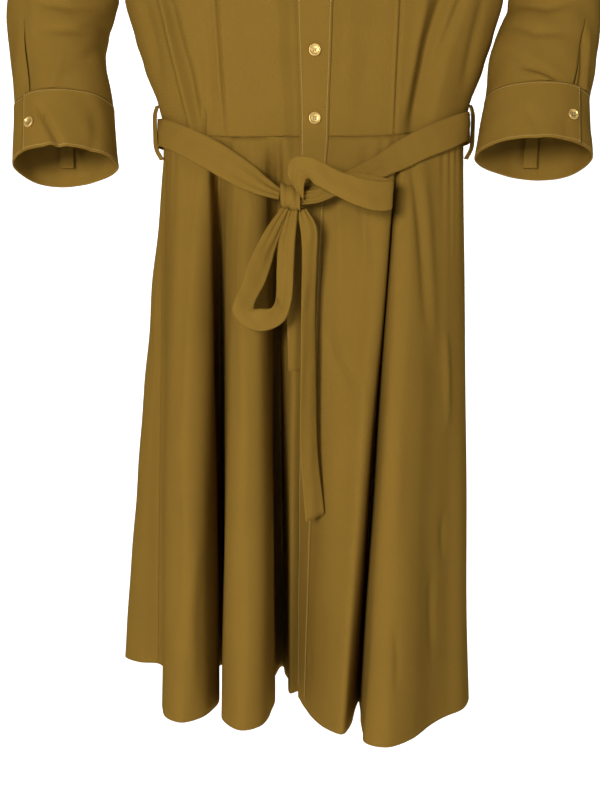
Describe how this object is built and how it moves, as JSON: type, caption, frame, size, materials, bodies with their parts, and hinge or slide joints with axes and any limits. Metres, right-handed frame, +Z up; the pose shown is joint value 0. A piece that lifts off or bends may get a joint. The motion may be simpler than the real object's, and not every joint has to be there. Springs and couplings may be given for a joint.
{
  "type": "shirt dress",
  "caption": "Belted midi shirt dress in crepe, hollow, with a collar, a button front, wide cuffed sleeves and a softly folded skirt.",
  "frame": {"origin": "the middle of the neck at shoulder height, where the wearer's shoulders hold the dress up", "axes": "+Z up, -Y out of the dress's front, +X to the wearer's left"},
  "size_m": [0.7191, 0.3534, 1.1493],
  "materials": {
    "crepe": "matte crepe weave",
    "crepe_deep": "matte crepe weave, in shade",
    "button_brass": "satin"
  },
  "bodies": {
    "root": {"skirt_front_right": "crepe", "skirt_back": "crepe", "skirt_front_left": "crepe", "front_left": "crepe", "front_right": "crepe", "back": "crepe", "front_band": "crepe", "sleeve_right": "crepe", "cuff_right": "crepe_deep", "cuff_button_right": "button_brass", "roll_tab_right": "crepe_deep", "sleeve_left": "crepe", "cuff_left": "crepe_deep", "cuff_button_left": "button_brass", "roll_tab_left": "crepe_deep", "collar_stand": "crepe", "collar_fall": "crepe", "front_button_1": "button_brass", "front_button_2": "button_brass", "front_button_3": "button_brass", "front_button_4": "button_brass", "front_button_5": "button_brass", "front_button_6": "button_brass", "front_button_7": "button_brass", "front_button_8": "button_brass", "front_button_9": "button_brass", "front_button_10": "button_brass", "belt_back": "crepe", "belt_run_right": "crepe", "belt_run_left": "crepe", "belt_bow_left": "crepe", "belt_bow_right": "crepe", "belt_tail_long": "crepe", "belt_tail_short": "crepe", "belt_knot": "crepe", "belt_loop_right": "crepe", "belt_loop_left": "crepe"}
  },
  "joints": []
}
